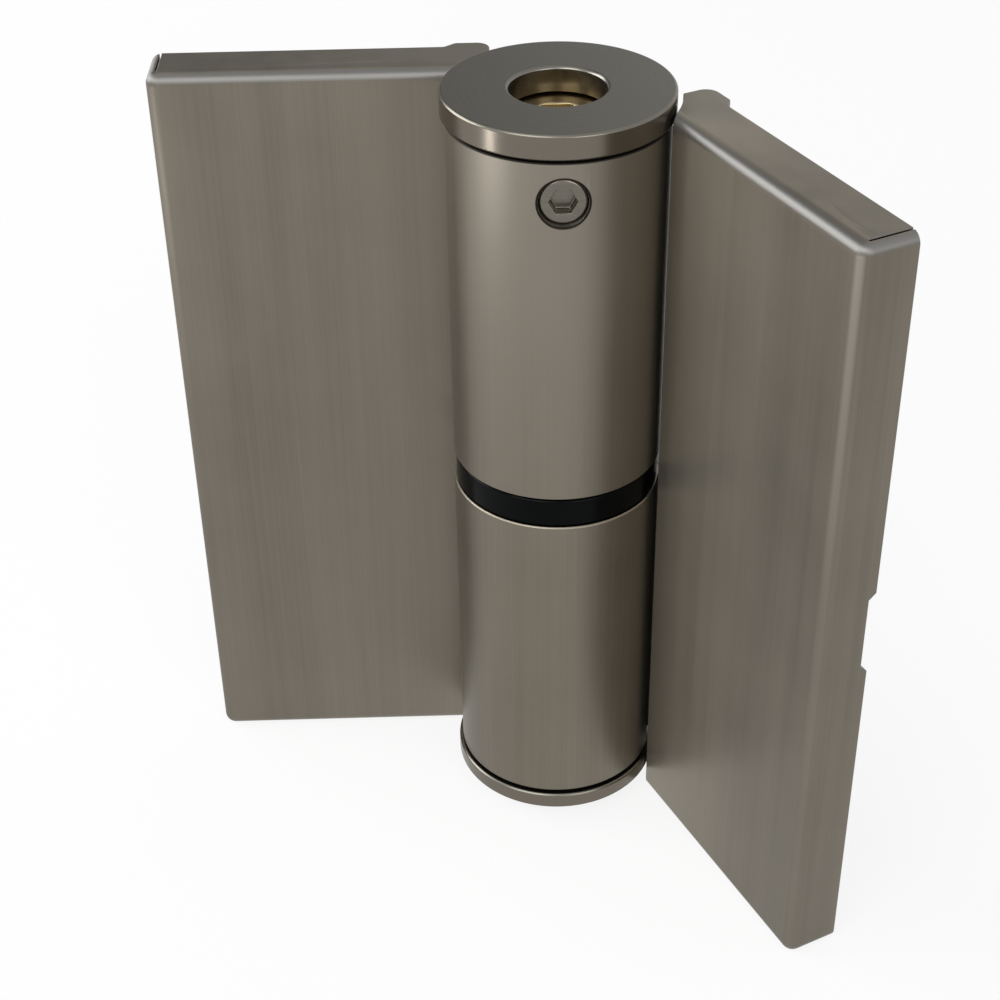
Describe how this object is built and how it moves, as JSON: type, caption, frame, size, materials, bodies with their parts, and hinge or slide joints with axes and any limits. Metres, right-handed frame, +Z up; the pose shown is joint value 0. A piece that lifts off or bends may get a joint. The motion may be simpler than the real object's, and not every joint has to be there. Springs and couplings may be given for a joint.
{
  "type": "spring hinge",
  "caption": "Self-closing tube hinge with a torsion spring in its barrel, brass tension adjuster behind a ring cap, locking set screw, black bearing ring and folded slip-on leaf covers.",
  "frame": {"origin": "on the barrel axis at the level of the covers' undersides, on which the hinge stands", "axes": "+Z up along the barrel axis, towards the cap with the key hole; +Y out of the frame leaf's mounting face; the frame leaf runs along -X"},
  "size_m": [0.0876, 0.0583, 0.109],
  "materials": {
    "leaf_steel": "rolled stainless plate",
    "weld_steel": "ground weld",
    "tube_steel": "fine turned stainless",
    "cap_steel": "faced stainless with a polished rim",
    "cover_steel": "satin stainless, brushed upright",
    "spring_steel": "hardened spring steel",
    "plain_steel": "machined steel",
    "screw_steel": "stainless screw",
    "adjuster_brass": "turned brass",
    "bearing_bronze": "bearing bronze",
    "ring_nylon": "black glossy nylon"
  },
  "bodies": {
    "frame_side": {"frame_leaf": "leaf_steel", "frame_weld": "weld_steel", "upper_tube": "tube_steel", "top_cap": "cap_steel", "upper_bush": "bearing_bronze", "frame_clip_upper": "spring_steel", "frame_clip_lower": "spring_steel", "frame_rivets": "plain_steel", "torsion_spring": "spring_steel"},
    "adjuster": {"spring_adjuster": "adjuster_brass"},
    "lock_screw": {"lock_screw": "screw_steel"},
    "frame_cover": {"frame_cover": "cover_steel"},
    "door_side": {"door_leaf": "leaf_steel", "door_weld": "weld_steel", "door_clip_upper": "spring_steel", "door_clip_lower": "spring_steel", "door_rivets": "plain_steel", "lower_tube": "tube_steel", "bottom_cap": "cap_steel", "bottom_screw": "screw_steel", "pivot_shaft": "plain_steel", "lower_hub": "plain_steel", "hub_pin": "plain_steel", "bearing_ring": "ring_nylon", "thrust_washer": "bearing_bronze", "spring_collar": "plain_steel", "collar_pin": "plain_steel"},
    "door_cover": {"door_cover": "cover_steel"}
  },
  "joints": [
    {"name": "door_swing", "type": "hinge", "parent": "frame_side", "child": "door_side", "pos_m": [0, 0, 0], "axis": [0, 0, 1], "range_deg": [-115.6, 64.4], "stiffness_Nm_per_rad": 0.45, "deforming": ["torsion_spring"]},
    {"name": "adjuster_turn", "type": "hinge", "parent": "frame_side", "child": "adjuster", "pos_m": [0, 0, 0.098], "axis": [0, 0, 1], "range_deg": [-180, 180], "deforming": ["torsion_spring"]},
    {"name": "lock_screw_travel", "type": "slide", "parent": "frame_side", "child": "lock_screw", "axis": [0, -1, 0], "range_m": [0, 0.001]},
    {"name": "frame_cover_slide", "type": "slide", "parent": "frame_side", "child": "frame_cover", "axis": [-1, 0, 0], "range_m": [0, 0.04]},
    {"name": "door_cover_slide", "type": "slide", "parent": "door_side", "child": "door_cover", "axis": [0.4321, -0.9018, 0], "range_m": [0, 0.04]}
  ]
}
